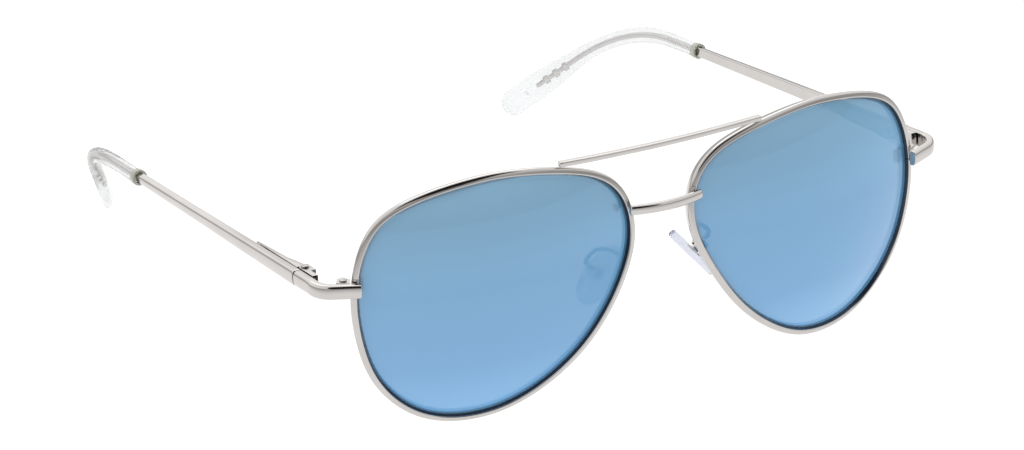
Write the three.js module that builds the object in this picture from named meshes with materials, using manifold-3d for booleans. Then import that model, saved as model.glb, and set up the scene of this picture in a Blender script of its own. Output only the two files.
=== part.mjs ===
// Aviator sunglasses: two wire rims with curved lenses, a straight brow bar over a bowed bridge,
// bent end pieces with barrel hinges, bar temples ending in clear tips, and screwed-on nose pads.
//
// Millimetres, +Z up. The lenses face -Y, the temples run back along +Y, and the wearer's left is
// on +X. The glasses stand open on a surface at Z = 0, on both rims and both temple tips.
//
// Every piece of one side is drawn for the wearer's left and mirrored for the right.

import * as THREE from 'three';
import { mergeVertices } from 'three/addons/utils/BufferGeometryUtils.js';
import Module from 'manifold-3d';

const wasm = await Module();
wasm.setup();

const degrees = Math.PI / 180;

// ---- Driving dimensions -------------------------------------------------------------------------

// How the open glasses stand: the front leans over its lower edge until the tips touch down.
const restTilt = 2.959 * degrees;
const restHeight = 27.718;
const restShift = -76.11;

// The clearance left round a piece that is held or soldered.
const gap = 0.25;

// Lens and rim. The outline is the middle line of the rim wire, seen square on to the lens. It
// starts at the closing block and runs up over the brow, down the nose side and back.
const eyeSpacing = 38.2;
const wrapAngle = 10.6 * degrees;
const lensRadius = 67;
const splitHeight = 3.6;
const rimOutline = [
  [27.35, splitHeight],
  [21.9, 17.2],
  [0.3, 24.1],
  [-22.8, 20.0],
  [-29.1, 13.5],
  [-29.8, 3.5],
  [-19.0, -15.1],
  [-1.8, -26.2],
  [12.8, -25.9],
  [23.3, -16.3],
];
const rimSteps = 52;
const rimOutside = 0.8;
const rimInside = 0.62;
const rimFront = 0.95;
const rimBack = -1.65;
const grooveFloor = 0.1;
const grooveFront = -0.6;
const grooveBack = -1.4;
const lensFront = 0;
const lensBack = -1.6;
const bevelFront = -0.85;
const bevelBack = -1.15;

// Closing block: the two halves that a screw pulls together to close the rim.
const blockWidth = 2.6;
const blockDepth = 2.2;
const blockSetBack = 0.8;
const blockHeight = 1.5;
const rimScrewRadius = 0.4;

// Bars across the nose.
const brow = { halfLength: 23.1, endY: 2.2, height: 24.5, bow: 1.2, depth: 1.3, thickness: 1.15 };
const bridge = { halfLength: 8.2, endY: 0.1, height: 12.1, bow: 1.4, depth: 1.5, thickness: 2.1 };

// End piece and temple. The seam is where the end piece stops and the temple starts.
const seam = new THREE.Vector3(71.1, 21.6, 3.5);
const templeInset = 2.5 * degrees;
const templeDrop = 6.3 * degrees;
const barThickness = 1.9;
const barHeight = 3.2;
const barEndThickness = 1.65;
const barEndHeight = 2;
const barLean = 9 * degrees;
const leanStart = 23;
const leanFull = 50;
const barLength = 78;
const endPieceStraight = 6.8;
const endPieceBend = 4.5;
const endPieceLap = 5.5;
const endPieceLapAngle = 25 * degrees;
const lapThickness = 1.5;
const lapHeight = 3;

// Hinge: two knuckles on the end piece's leaf, one between them on the temple's leaf.
const hingeX = -2.35;
const hingeY = 1.0;
const knuckleRadius = 1.15;
const hingeBore = 0.6;
const hingeScrewRadius = 0.4;
const knuckleGap = 0.1;
const middleKnuckle = 0.7;
const frontLeafLength = 5.0;
const tailLength = 19;

// Temple tip and the wire inside it.
const coreRadius = 0.55;
const coreLength = 57;
const barbSpacing = 3.1;
const barbReach = 0.9;
const tipStraight = 10;
const tipBendRadius = 42;
const tipBendAngle = 43.7 * degrees;
const tipBendLean = 34 * degrees;
const tipLength = 66;
const neckRadius = 1.45;
const paddleHalfHeight = 3.0;
const paddleHalfThickness = 1.2;
const paddleStart = 34;
const paddleFull = 57;
const collarRadius = 1.7;
const collarLength = 1.6;

// Nose pads. Each pad group's x axis points away from the nose, y back and z up along the pad.
const padCentre = [10.7, 7.5, -4.1];
const padCant = 42 * degrees;
const padSplay = 10 * degrees;
const padHalfHeight = 6.7;
const padHalfWidth = 3.75;
const padHalfThickness = 0.85;
const insertHalfWidth = 1.3;
const insertHalfHeight = 1.8;
const tabThickness = 0.8;
const padPivot = 2.0;
const boxOuter = 3.4;
const boxInner = 1.2;
const boxHalfWidth = 1.25;
const boxHalfHeight = 1.0;
const padScrewRadius = 0.3;
const padScrewBore = 0.5;
const armRadius = 0.5;

// ---- Materials ----------------------------------------------------------------------------------

const polishedMetal = () => new THREE.MeshStandardMaterial({
  color: 0xc9c4bf,
  metalness: 1,
  roughness: 0.15,
});

const mirrorLens = () => new THREE.MeshStandardMaterial({
  color: 0x7fa9cc,
  metalness: 0.6,
  roughness: 0.05,
  transparent: true,
  opacity: 0.85,
});

const clearPlastic = () => new THREE.MeshStandardMaterial({
  color: 0xeef0ee,
  roughness: 0.1,
  transparent: true,
  opacity: 0.5,
});

const collarPlastic = () => new THREE.MeshStandardMaterial({
  color: 0x9a9a88,
  roughness: 0.35,
});

// ---- Solids -------------------------------------------------------------------------------------

// A closed mesh as a solid that can be joined and cut.
function toSolid(geometry) {
  const bare = geometry.clone();
  bare.deleteAttribute('normal');
  bare.deleteAttribute('uv');
  const merged = mergeVertices(bare, 1e-4);
  const triangles = [];
  for (let i = 0; i < merged.index.count; i += 3) {
    const corners = [0, 1, 2].map((k) => merged.index.getX(i + k));
    if (new Set(corners).size === 3) triangles.push(...corners);
  }
  return new wasm.Manifold(new wasm.Mesh({
    numProp: 3,
    vertProperties: new Float32Array(merged.attributes.position.array),
    triVerts: new Uint32Array(triangles),
  }));
}

function toGeometry(solid) {
  const mesh = solid.getMesh();
  const geometry = new THREE.BufferGeometry();
  geometry.setAttribute('position', new THREE.BufferAttribute(mesh.vertProperties, 3));
  geometry.setIndex(new THREE.BufferAttribute(mesh.triVerts, 1));
  return geometry;
}

function join(first, ...others) {
  return toGeometry(others.reduce((whole, piece) => whole.add(toSolid(piece)), toSolid(first)));
}

function cut(first, ...others) {
  return toGeometry(others.reduce((whole, piece) => whole.subtract(toSolid(piece)), toSolid(first)));
}

function common(first, second) {
  return toGeometry(toSolid(first).intersect(toSolid(second)));
}

// A box between two corners.
function block(low, high) {
  const size = high.map((value, i) => value - low[i]);
  const box = new THREE.BoxGeometry(...size);
  return box.translate(...low.map((value, i) => value + size[i] / 2));
}

// A cylinder along z from one height to another.
function post(radius, from, to, sides = 20) {
  const cylinder = new THREE.CylinderGeometry(radius, radius, to - from, sides);
  return cylinder.rotateX(Math.PI / 2).translate(0, 0, (from + to) / 2);
}

// Moves every vertex of a geometry by a function of its position.
function reshape(geometry, move) {
  const position = geometry.attributes.position;
  const vertex = new THREE.Vector3();
  for (let i = 0; i < position.count; i += 1) {
    const moved = move(vertex.fromBufferAttribute(position, i));
    position.setXYZ(i, moved.x, moved.y, moved.z);
  }
  return geometry;
}

// The other hand of a piece: x changes sign, and each triangle turns round to face out again.
function mirrored(geometry) {
  const other = geometry.index ? geometry.toNonIndexed() : geometry.clone();
  const source = other.attributes.position.clone();
  for (let i = 0; i < source.count; i += 3) {
    [0, 2, 1].forEach((from, to) => {
      const k = i + from;
      other.attributes.position.setXYZ(i + to, -source.getX(k), source.getY(k), source.getZ(k));
    });
  }
  return other;
}

// A rectangle with rounded corners, centred on the origin.
function roundedBar(width, height, radius) {
  const x = width / 2;
  const y = height / 2;
  const shape = new THREE.Shape();
  shape.moveTo(x, -y + radius);
  shape.lineTo(x, y - radius);
  shape.absarc(x - radius, y - radius, radius, 0, Math.PI / 2);
  shape.lineTo(-x + radius, y);
  shape.absarc(-x + radius, y - radius, radius, Math.PI / 2, Math.PI);
  shape.lineTo(-x, -y + radius);
  shape.absarc(-x + radius, -y + radius, radius, Math.PI, 1.5 * Math.PI);
  shape.lineTo(x - radius, -y);
  shape.absarc(x - radius, -y + radius, radius, 1.5 * Math.PI, 2 * Math.PI);
  return shape;
}

function ellipse(halfWidth, halfHeight) {
  const shape = new THREE.Shape();
  shape.absellipse(0, 0, halfWidth, halfHeight, 0, 2 * Math.PI);
  return shape;
}

// A smooth path for a section that mustn't twist: guide(point) is the direction that the section's
// y axis keeps to.
class GuidedPath extends THREE.CatmullRomCurve3 {
  constructor(points, guide) {
    super(points, false, 'centripetal');
    this.guide = guide;
  }

  frameAt(u) {
    const tangent = this.getTangentAt(u);
    const normal = this.guide(this.getPointAt(u)).cross(tangent).normalize();
    return { tangent, normal, binormal: tangent.clone().cross(normal) };
  }

  computeFrenetFrames(steps) {
    const frames = Array.from({ length: steps + 1 }, (_, i) => this.frameAt(i / steps));
    return {
      tangents: frames.map((frame) => frame.tangent),
      normals: frames.map((frame) => frame.normal),
      binormals: frames.map((frame) => frame.binormal),
    };
  }
}

const upwards = () => new THREE.Vector3(0, 0, 1);
const backwards = new THREE.Vector3(0, 1, 0);

function sweep(section, path, steps, curveSegments = 1) {
  return new THREE.ExtrudeGeometry(section, { extrudePath: path, steps, curveSegments });
}

// Bends a solid drawn along the y axis, from 0 to length, so that y runs along a path.
function alongPath(geometry, path, length) {
  return reshape(geometry, (vertex) => {
    const u = THREE.MathUtils.clamp(vertex.y / length, 0, 1);
    const frame = path.frameAt(u);
    const beyond = vertex.y - u * length;
    return path.getPointAt(u)
      .addScaledVector(frame.tangent, beyond)
      .addScaledVector(frame.normal, -vertex.x)
      .addScaledVector(frame.binormal, vertex.z);
  });
}

// ---- Lens and rim, in the lens's own frame ------------------------------------------------------
// x outward, y back and z up, with the middle of the lens at the origin. The rim wire's middle line
// lies on a sphere whose centre is behind the lens.

const sphereCentre = new THREE.Vector3(0, lensRadius, 0);

function onSphere(x, z) {
  return new THREE.Vector3(x, lensRadius - Math.sqrt(lensRadius ** 2 - x ** 2 - z ** 2), z);
}

function forwards(point) {
  return point.clone().sub(sphereCentre).normalize();
}

const outline = new THREE.CatmullRomCurve3(
  rimOutline.map(([x, z]) => new THREE.Vector3(x, 0, z)),
  true,
  'centripetal',
);

// The rim wire is open at the closing block, by the gap between its two halves.
const splitShare = (gap / 2) / outline.getLength();

const rimPath = new GuidedPath(
  Array.from({ length: rimSteps + 1 }, (_, i) => {
    const along = splitShare + (1 - 2 * splitShare) * (i / rimSteps);
    const point = outline.getPointAt(along);
    return onSphere(point.x, point.z);
  }),
  forwards,
);

// Section of the rim wire: x towards the lens, y forwards. Its outside is rounded and its inside
// has the groove that holds the lens.
function rimSection() {
  const lip = 0.22;
  const round = 0.6;
  const shape = new THREE.Shape();
  shape.moveTo(rimInside, grooveFront);
  shape.lineTo(rimInside, rimFront - lip);
  shape.lineTo(rimInside - lip, rimFront);
  shape.absarc(-rimOutside + round, rimFront - round, round, Math.PI / 2, Math.PI);
  shape.absarc(-rimOutside + round, rimBack + round, round, Math.PI, 1.5 * Math.PI);
  shape.lineTo(rimInside - lip / 2, rimBack);
  shape.lineTo(rimInside, grooveBack - lip / 2);
  shape.lineTo(rimInside, grooveBack);
  shape.lineTo(grooveFloor, grooveBack);
  shape.lineTo(grooveFloor, grooveFront);
  return shape;
}

function rim() {
  return sweep(rimSection(), rimPath, rimSteps);
}

// The lens is turned as a disc of radius 1 and stretched to the rim's outline. Up to 1 the radius is
// a share of the way to the edge of the lens; past 1 it's in millimetres, for the ridge that sits in
// the rim's groove.
function lens() {
  const edge = 1 + rimInside - grooveFloor;
  const profile = [
    [0, lensBack],
    [0.4, lensBack],
    [0.75, lensBack],
    [1, lensBack],
    [1, bevelBack],
    [edge, bevelBack],
    [edge, bevelFront],
    [1, bevelFront],
    [1, lensFront],
    [0.75, lensFront],
    [0.4, lensFront],
    [0, lensFront],
  ];
  const disc = new THREE.LatheGeometry(profile.map(([r, y]) => new THREE.Vector2(r, y)), rimSteps);
  return reshape(disc, (vertex) => {
    const radius = Math.hypot(vertex.x, vertex.z);
    const share = Math.min(radius, 1);
    const step = Math.round((Math.atan2(vertex.x, vertex.z) / (2 * Math.PI)) * rimSteps);
    const u = ((step + rimSteps) % rimSteps) / rimSteps;
    const inset = rimInside + gap - (radius - share);
    const outer = rimPath.getPointAt(u).addScaledVector(rimPath.frameAt(u).normal, inset);
    const point = radius > 1 ? outer : onSphere(outer.x * share, outer.z * share);
    return point.addScaledVector(forwards(point), vertex.y);
  });
}

// ---- Closing block, in its own frame ------------------------------------------------------------
// x outward from the rim wire, y back and z up, with the origin where the rim is split.

const splitPoint = onSphere(rimOutline[0][0], splitHeight);
const splitTurn = Math.asin(rimOutline[0][0] / lensRadius);
const blockStart = rimOutside + gap;
const blockMiddle = blockStart + blockWidth / 2;

function closingBlock(from, to) {
  const front = blockSetBack - blockDepth / 2;
  const body = block([blockStart, front, from], [blockStart + blockWidth, front + blockDepth, to]);
  const bore = post(rimScrewRadius + gap / 2, from - 1, to + 1, 14);
  return cut(body, bore.translate(blockMiddle, blockSetBack, 0));
}

// A slotted screw along z, with its head's underside at z = top.
function screw(radius, bottom, top, headRadius, headHeight) {
  const shank = post(radius, bottom, top + headHeight / 2, 12);
  const head = post(headRadius, top, top + headHeight, 20);
  const slotHalf = headRadius * 0.18;
  const slotFloor = top + headHeight * 0.5;
  const slot = block([-2, -slotHalf, slotFloor], [2, slotHalf, top + headHeight + 1]);
  return cut(join(shank, head), slot);
}

function rimScrew() {
  const top = blockHeight + gap / 2;
  return screw(rimScrewRadius, -blockHeight, top, 0.8, 0.25).translate(blockMiddle, blockSetBack, 0);
}

// ---- Bars across the nose, in the front's frame -------------------------------------------------

// A bar that is bowed forwards: it stands furthest forward in the middle, and its ends meet the rims.
function bowedBar({ halfLength, endY, height, bow, depth, thickness }, corner) {
  const steps = 8;
  const points = Array.from({ length: steps + 1 }, (_, i) => {
    const across = (2 * i) / steps - 1;
    return new THREE.Vector3(across * halfLength, endY - bow * (1 - across ** 2), height);
  });
  return sweep(roundedBar(depth, thickness, corner), new GuidedPath(points, upwards), 14);
}

// ---- End piece, in the front's frame ------------------------------------------------------------

const templeTurn = new THREE.Euler(-templeDrop, 0, templeInset, 'ZYX');
const templeDirection = new THREE.Vector3(0, 1, 0).applyEuler(templeTurn);

// Over the front of the rim, round the bend, where it grows to the size of the temple, then in line
// with the temple up to the seam.
function endPiece() {
  const seamEnd = seam.clone().addScaledVector(templeDirection, -gap / 2);
  const bendEnd = seam.clone().addScaledVector(templeDirection, -endPieceStraight);
  const heading = Math.PI / 2 + templeInset;
  const bendPoint = (angle) => new THREE.Vector3(
    bendEnd.x + endPieceBend * (Math.sin(angle) - Math.sin(heading)),
    bendEnd.y - endPieceBend * (Math.cos(angle) - Math.cos(heading)),
    bendEnd.z,
  );
  const bendStart = bendPoint(endPieceLapAngle);
  const lap = new THREE.Vector3(Math.cos(endPieceLapAngle), Math.sin(endPieceLapAngle), 0);
  const points = [
    bendStart.clone().addScaledVector(lap, -endPieceLap),
    bendStart.clone().addScaledVector(lap, -endPieceLap / 2),
  ];
  const steps = 8;
  for (let i = 0; i <= steps; i += 1) {
    points.push(bendPoint(endPieceLapAngle + (heading - endPieceLapAngle) * (i / steps)));
  }
  points.push(bendEnd.clone().lerp(seamEnd, 0.5), seamEnd);
  const path = new GuidedPath(points, upwards);
  const length = path.getLength();
  const bar = new THREE.ExtrudeGeometry(roundedBar(lapThickness, lapHeight, 0.45), {
    depth: length,
    bevelEnabled: false,
    curveSegments: 1,
    steps: 16,
  });
  bar.rotateX(-Math.PI / 2);
  reshape(bar, (vertex) => {
    const growth = THREE.MathUtils.smoothstep(vertex.y, endPieceLap - 1, length - endPieceStraight);
    vertex.x *= THREE.MathUtils.lerp(1, barThickness / lapThickness, growth);
    vertex.z *= THREE.MathUtils.lerp(1, barHeight / lapHeight, growth);
    return vertex;
  });
  return alongPath(bar, path, length);
}

// ---- Hinge, in the temple's frame ---------------------------------------------------------------
// x outward, y back along the temple and z up, with the origin at the seam.

const leafFace = -barThickness / 2 - gap;
const leafInner = hingeX - knuckleRadius;
const middleTop = middleKnuckle / 2;
const outerBottom = middleTop + knuckleGap;
const hingeTop = barHeight / 2;

function knuckle(from, to) {
  return post(knuckleRadius, from, to, 24).translate(hingeX, hingeY, 0);
}

function hingeHole() {
  return post(hingeBore, -3, 3, 16).translate(hingeX, hingeY, 0);
}

// The fixed leaf: a plate behind the end piece and two arms that carry the outer knuckles.
function frontLeaf() {
  const plateBack = hingeY - knuckleRadius - gap;
  const plate = block([hingeX, -frontLeafLength, -hingeTop], [leafFace, plateBack, hingeTop]);
  const arms = [[outerBottom, hingeTop], [-hingeTop, -outerBottom]].flatMap(([from, to]) => [
    block([leafInner, plateBack - 1.2, from], [leafFace, hingeY, to]),
    knuckle(from, to),
  ]);
  return cut(join(plate, ...arms), hingeHole());
}

// The temple's leaf: one knuckle, and a long tail that thins out along the inside of the bar.
function rearLeaf() {
  const tailStart = hingeY + knuckleRadius + gap;
  const tailHalfHeight = 1.4;
  const tail = new THREE.Shape();
  tail.moveTo(leafFace, tailStart);
  tail.lineTo(leafFace, tailStart + tailLength);
  tail.lineTo(leafFace - 0.35, tailStart + tailLength);
  tail.lineTo(leafFace - 1.0, tailStart + tailLength * 0.35);
  tail.lineTo(leafInner + 0.4, tailStart + 1.2);
  tail.lineTo(leafInner + 0.4, tailStart);
  const plate = new THREE.ExtrudeGeometry(tail, { depth: 2 * tailHalfHeight, bevelEnabled: false });
  plate.translate(0, 0, -tailHalfHeight);
  const web = block([leafInner + 0.4, hingeY, -middleTop], [leafFace, tailStart + 0.5, middleTop]);
  return cut(join(plate, web, knuckle(-middleTop, middleTop)), hingeHole());
}

function hingeScrew() {
  return screw(hingeScrewRadius, -hingeTop, hingeTop + knuckleGap, 0.85, 0.25)
    .translate(hingeX, hingeY, 0);
}

// ---- Temple and tip, in the temple's frame ------------------------------------------------------

const collarHalf = collarLength / 2;
const tailRoot = barLength - 1;
const tipStart = barLength + collarHalf + gap - tailRoot;
const bendStartAt = tipStart + tipStraight;
const bendLength = tipBendRadius * tipBendAngle;
const tailEnd = tipStart + tipLength;

// The middle line of the tip: straight back, a bend down and in, and straight again.
function tailPoint(s) {
  const bent = THREE.MathUtils.clamp((s - bendStartAt) / tipBendRadius, 0, tipBendAngle);
  const after = Math.max(0, s - bendStartAt - bendLength);
  const back = tailRoot + Math.min(s, bendStartAt)
    + tipBendRadius * Math.sin(bent) + after * Math.cos(bent);
  const down = tipBendRadius * (1 - Math.cos(bent)) + after * Math.sin(bent);
  return new THREE.Vector3(-down * Math.sin(tipBendLean), back, -down * Math.cos(tipBendLean));
}

const tailPath = new GuidedPath(
  Array.from({ length: 41 }, (_, i) => tailPoint((tailEnd * i) / 40)),
  upwards,
);

function alongTail(geometry) {
  return alongPath(geometry, tailPath, tailEnd);
}

// A round bar along y with widened rings near its end, flat on both sides.
function barbedRod(radius, reach, from, to, ringHalf, sides) {
  const profile = [[0, from], [radius, from]];
  const steps = 11;
  const plainEnd = coreLength - 4.2 - 2 * barbSpacing;
  for (let i = 1; i < steps; i += 1) {
    profile.push([radius, from + ((plainEnd - from) * i) / steps]);
  }
  for (let ring = 2; ring >= 0; ring -= 1) {
    const at = coreLength - 3.2 - ring * barbSpacing;
    profile.push([radius, at - ringHalf - 0.3], [reach, at - ringHalf]);
    profile.push([reach, at + ringHalf], [radius, at + ringHalf + 0.3]);
  }
  profile.push([radius, to], [0, to]);
  const rod = new THREE.LatheGeometry(profile.map(([r, y]) => new THREE.Vector2(r, y)), sides);
  return alongTail(reshape(rod, (vertex) => {
    vertex.x = THREE.MathUtils.clamp(vertex.x, -radius, radius);
    return vertex;
  }));
}

// The temple is one piece of metal: a bar that tapers to the tip, its top leaning outwards behind the
// hinge, then a thin wire inside the tip.
function temple() {
  const bar = new THREE.ExtrudeGeometry(roundedBar(barThickness, barHeight, 0.4), {
    depth: barLength - gap / 2,
    bevelEnabled: false,
    curveSegments: 1,
    steps: 10,
  });
  bar.rotateX(-Math.PI / 2).translate(0, gap / 2, 0);
  reshape(bar, (vertex) => {
    const along = vertex.y / barLength;
    vertex.x *= THREE.MathUtils.lerp(1, barEndThickness / barThickness, along);
    vertex.z *= THREE.MathUtils.lerp(1, barEndHeight / barHeight, along);
    const lean = barLean * THREE.MathUtils.smoothstep(vertex.y, leanStart, leanFull);
    return vertex.applyAxisAngle(backwards, lean);
  });
  return join(bar, barbedRod(coreRadius, barbReach, 0, coreLength, 0.25, 8));
}

function collar() {
  const bore = Math.hypot(barEndThickness, barEndHeight) / 2 + gap - 0.1;
  const from = barLength - collarHalf;
  const to = barLength + collarHalf;
  const ring = cut(post(collarRadius, from, to, 24), post(bore, from - 1, to + 1, 24));
  return ring.rotateX(-Math.PI / 2);
}

// Round at the neck, then flatter and taller towards a rounded end, with a bore for the wire.
function tip() {
  const roundLength = 3.4;
  const profile = [[0, 0], [0.88, 0], [1, 0.4]];
  const steps = 15;
  for (let i = 1; i <= steps; i += 1) {
    profile.push([1, 0.4 + ((tipLength - roundLength - 0.4) * i) / steps]);
  }
  for (let i = 1; i <= 4; i += 1) {
    const angle = (i * Math.PI) / 8;
    profile.push([Math.cos(angle), tipLength - roundLength * (1 - Math.sin(angle))]);
  }
  profile[profile.length - 1][0] = 0;
  const body = new THREE.LatheGeometry(profile.map(([r, y]) => new THREE.Vector2(r, y)), 14);
  reshape(body, (vertex) => {
    const widening = THREE.MathUtils.smoothstep(vertex.y, paddleStart, paddleFull);
    const halfThickness = THREE.MathUtils.lerp(neckRadius, paddleHalfThickness, widening);
    const bendSwell = 0.25 * THREE.MathUtils.smoothstep(vertex.y, 4, 20);
    const halfHeight = THREE.MathUtils.lerp(neckRadius + bendSwell, paddleHalfHeight, widening);
    return vertex.set(vertex.x * halfThickness, vertex.y + tipStart, vertex.z * halfHeight);
  });
  const bore = barbedRod(coreRadius + gap, barbReach + gap, tipStart - 1, coreLength + gap, 0.5, 8);
  return cut(alongTail(body), bore);
}

// ---- Nose pads, in the pad's frame --------------------------------------------------------------

// Turns a flat outline drawn in x and y into a plate: x becomes y, y becomes z, and the thickness
// runs along x from one distance to another.
function plateFrom(shape, from, to, bevel = 0, curveSegments = 20) {
  const plate = new THREE.ExtrudeGeometry(shape, {
    depth: to - from - 2 * bevel,
    bevelEnabled: bevel > 0,
    bevelThickness: bevel,
    bevelSize: bevel,
    bevelOffset: -bevel,
    bevelSegments: 2,
    curveSegments,
  });
  return plate.rotateY(Math.PI / 2).rotateX(Math.PI / 2).translate(from + bevel, 0, 0);
}

// Egg-shaped, narrower at the top.
function padOutline() {
  const corners = Array.from({ length: 28 }, (_, i) => {
    const angle = (i / 28) * 2 * Math.PI;
    const y = padHalfWidth * Math.sin(angle) * (1 - 0.16 * Math.cos(angle));
    return new THREE.Vector2(y, padHalfHeight * Math.cos(angle));
  });
  return new THREE.Shape(corners);
}

const pocketFloor = 0.05;
const tabHalf = tabThickness / 2;

function nosePad() {
  const body = plateFrom(padOutline(), -padHalfThickness, padHalfThickness, 0.4);
  const pocket = ellipse(insertHalfWidth + gap, insertHalfHeight + gap);
  return cut(body, plateFrom(pocket, pocketFloor, padHalfThickness + 1, 0, 10));
}

// The stiff insert in the pad: an oval base and a tab with a hole for the pad's screw.
function padInsert() {
  const base = plateFrom(ellipse(insertHalfWidth, insertHalfHeight), pocketFloor + gap,
    padHalfThickness, 0, 10);
  const tab = block([padHalfThickness - 0.2, -tabHalf, -0.75], [padPivot + 0.75, tabHalf, 0.75]);
  return cut(join(base, tab), padScrewHole());
}

function padScrewHole() {
  return post(padScrewBore, -4, 4, 14).rotateX(Math.PI / 2).translate(padPivot, 0, 0);
}

// The box at the end of the arm: open towards the pad, with a screw through both walls.
function padBox() {
  const slotHalf = tabHalf + gap;
  const body = block(
    [boxInner, -boxHalfWidth, -boxHalfHeight],
    [boxOuter, boxHalfWidth, boxHalfHeight],
  );
  const slot = block([0, -slotHalf, -3], [padPivot + 0.75 + gap, slotHalf, 3]);
  return cut(body, slot, padScrewHole());
}

function padScrew() {
  const top = boxHalfWidth + gap;
  return screw(padScrewRadius, -boxHalfWidth, top, 0.75, 0.4)
    .rotateX(-Math.PI / 2)
    .translate(padPivot, 0, 0);
}

const padTurn = new THREE.Euler(0, -padCant, -padSplay, 'ZYX');

function fromPad(x, y, z) {
  return new THREE.Vector3(x, y, z).applyEuler(padTurn).add(new THREE.Vector3(...padCentre));
}

// The arm, in the front's frame: out of the back of the rim, round behind it and into the box.
function padArm() {
  const points = [
    new THREE.Vector3(8.8, 3.1, 1.5),
    new THREE.Vector3(9.9, 4.8, 2.2),
    new THREE.Vector3(12.0, 6.6, 2.0),
    fromPad(boxOuter + 1.9, 0, 0.5),
    fromPad(boxOuter + gap, 0, 0),
  ];
  return sweep(ellipse(armRadius, armRadius), new GuidedPath(points, () => (
    new THREE.Vector3(-0.6, 0, 1)
  )), 12, 4);
}

// ---- Assembly -----------------------------------------------------------------------------------

const sunglasses = new THREE.Group();
sunglasses.rotation.x = restTilt;
sunglasses.position.set(0, restShift, restHeight);

function add(group, name, geometry, material) {
  const mesh = new THREE.Mesh(geometry, material);
  mesh.name = name;
  group.add(mesh);
}

add(sunglasses, 'brow_bar', bowedBar(brow, 0.35), polishedMetal());
add(sunglasses, 'bridge', bowedBar(bridge, 0.6), polishedMetal());

// A group placed on the wearer's left, or in the mirrored place on the right.
function placed(parent, hand, position, turn) {
  const group = new THREE.Group();
  group.position.set(hand * position.x, position.y, position.z);
  group.rotation.set(turn.x, hand * turn.y, hand * turn.z, 'ZYX');
  parent.add(group);
  return group;
}

for (const [side, hand] of [['left', 1], ['right', -1]]) {
  const piece = (group, name, geometry, material) => {
    add(group, `${name}_${side}`, hand > 0 ? geometry : mirrored(geometry), material);
  };

  const eye = placed(sunglasses, hand, new THREE.Vector3(eyeSpacing, 0, 0), { x: 0, y: 0, z: wrapAngle });
  piece(eye, 'rim', rim(), polishedMetal());
  piece(eye, 'lens', lens(), mirrorLens());

  const closing = placed(eye, hand, splitPoint, { x: 0, y: 0, z: splitTurn });
  piece(closing, 'closing_block_upper', closingBlock(gap / 2, blockHeight), polishedMetal());
  piece(closing, 'closing_block_lower', closingBlock(-blockHeight, -gap / 2), polishedMetal());
  piece(closing, 'rim_screw', rimScrew(), polishedMetal());

  piece(sunglasses, 'end_piece', endPiece(), polishedMetal());

  const hinge = placed(sunglasses, hand, seam, templeTurn);
  piece(hinge, 'hinge_leaf_front', frontLeaf(), polishedMetal());
  piece(hinge, 'hinge_leaf_temple', rearLeaf(), polishedMetal());
  piece(hinge, 'hinge_screw', hingeScrew(), polishedMetal());
  piece(hinge, 'temple', temple(), polishedMetal());
  piece(hinge, 'tip_collar', collar(), collarPlastic());
  piece(hinge, 'temple_tip', tip(), clearPlastic());

  piece(sunglasses, 'pad_arm', padArm(), polishedMetal());
  const pad = placed(sunglasses, hand, new THREE.Vector3(...padCentre), padTurn);
  piece(pad, 'pad_box', padBox(), polishedMetal());
  piece(pad, 'pad_screw', padScrew(), polishedMetal());
  piece(pad, 'pad_insert', padInsert(), polishedMetal());
  piece(pad, 'nose_pad', nosePad(), clearPlastic());
}

export default sunglasses;
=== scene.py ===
# Aviator sunglasses on a pale floor. Lengths in the first part are in millimetres, in the front's own
# frame: x to the wearer's left, y back, z up. to_row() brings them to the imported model's frame.
# What comes in pairs is drawn for the wearer's left and mirrored for the right.

import math

import bmesh
import bpy
import numpy as np
from mathutils import Matrix, Vector


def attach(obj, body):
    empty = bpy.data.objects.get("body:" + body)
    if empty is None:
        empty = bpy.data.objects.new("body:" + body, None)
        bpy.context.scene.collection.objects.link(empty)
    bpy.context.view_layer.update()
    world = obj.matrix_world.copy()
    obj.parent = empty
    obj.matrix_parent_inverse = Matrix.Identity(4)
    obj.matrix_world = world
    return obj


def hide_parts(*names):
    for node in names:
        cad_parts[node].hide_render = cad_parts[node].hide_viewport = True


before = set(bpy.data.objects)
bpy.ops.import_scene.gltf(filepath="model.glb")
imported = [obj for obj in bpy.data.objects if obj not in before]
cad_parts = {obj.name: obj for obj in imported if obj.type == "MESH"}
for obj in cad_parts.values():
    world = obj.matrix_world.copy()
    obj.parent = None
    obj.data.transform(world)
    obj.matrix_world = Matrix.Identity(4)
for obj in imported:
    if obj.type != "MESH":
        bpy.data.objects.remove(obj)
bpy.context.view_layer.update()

DEG = math.pi / 180

# ---- Shape of the front and the temples, as in the CAD ---------------------------------------------

REST_TILT, REST_SHIFT, REST_HEIGHT = 2.959 * DEG, -76.11, 27.718

# Rim and lens. The outline is the middle line of the rim wire, seen square on to the lens.
EYE_X, WRAP, LENS_R = 38.2, 10.6 * DEG, 67.0
OUTLINE = [(27.35, 3.6), (21.9, 17.2), (0.3, 24.1), (-22.8, 20.0), (-29.1, 13.5),
           (-29.8, 3.5), (-19.0, -15.1), (-1.8, -26.2), (12.8, -25.9), (23.3, -16.3)]
RIM_OUT, RIM_IN, RIM_FRONT, RIM_BACK = 0.8, 0.62, 0.95, -1.65
GROOVE_FRONT, GROOVE_BACK, GROOVE_FLOOR = -0.6, -1.4, 0.1
LENS_FRONT, LENS_BACK = 0.0, -1.6
RIDGE_FRONT, RIDGE_BACK, RIDGE_REACH = -0.85, -1.15, 0.45

# Bars across the nose: half length, depth of the ends, height and bow, then the section.
BROW_LINE, BROW_DEPTH, BROW_THICKNESS = (23.1, 2.2, 24.5, 1.2), 1.3, 1.15
BRIDGE_LINE, BRIDGE_DEPTH, BRIDGE_THICKNESS = (8.2, 0.1, 12.1, 1.4), 1.5, 2.1

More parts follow.
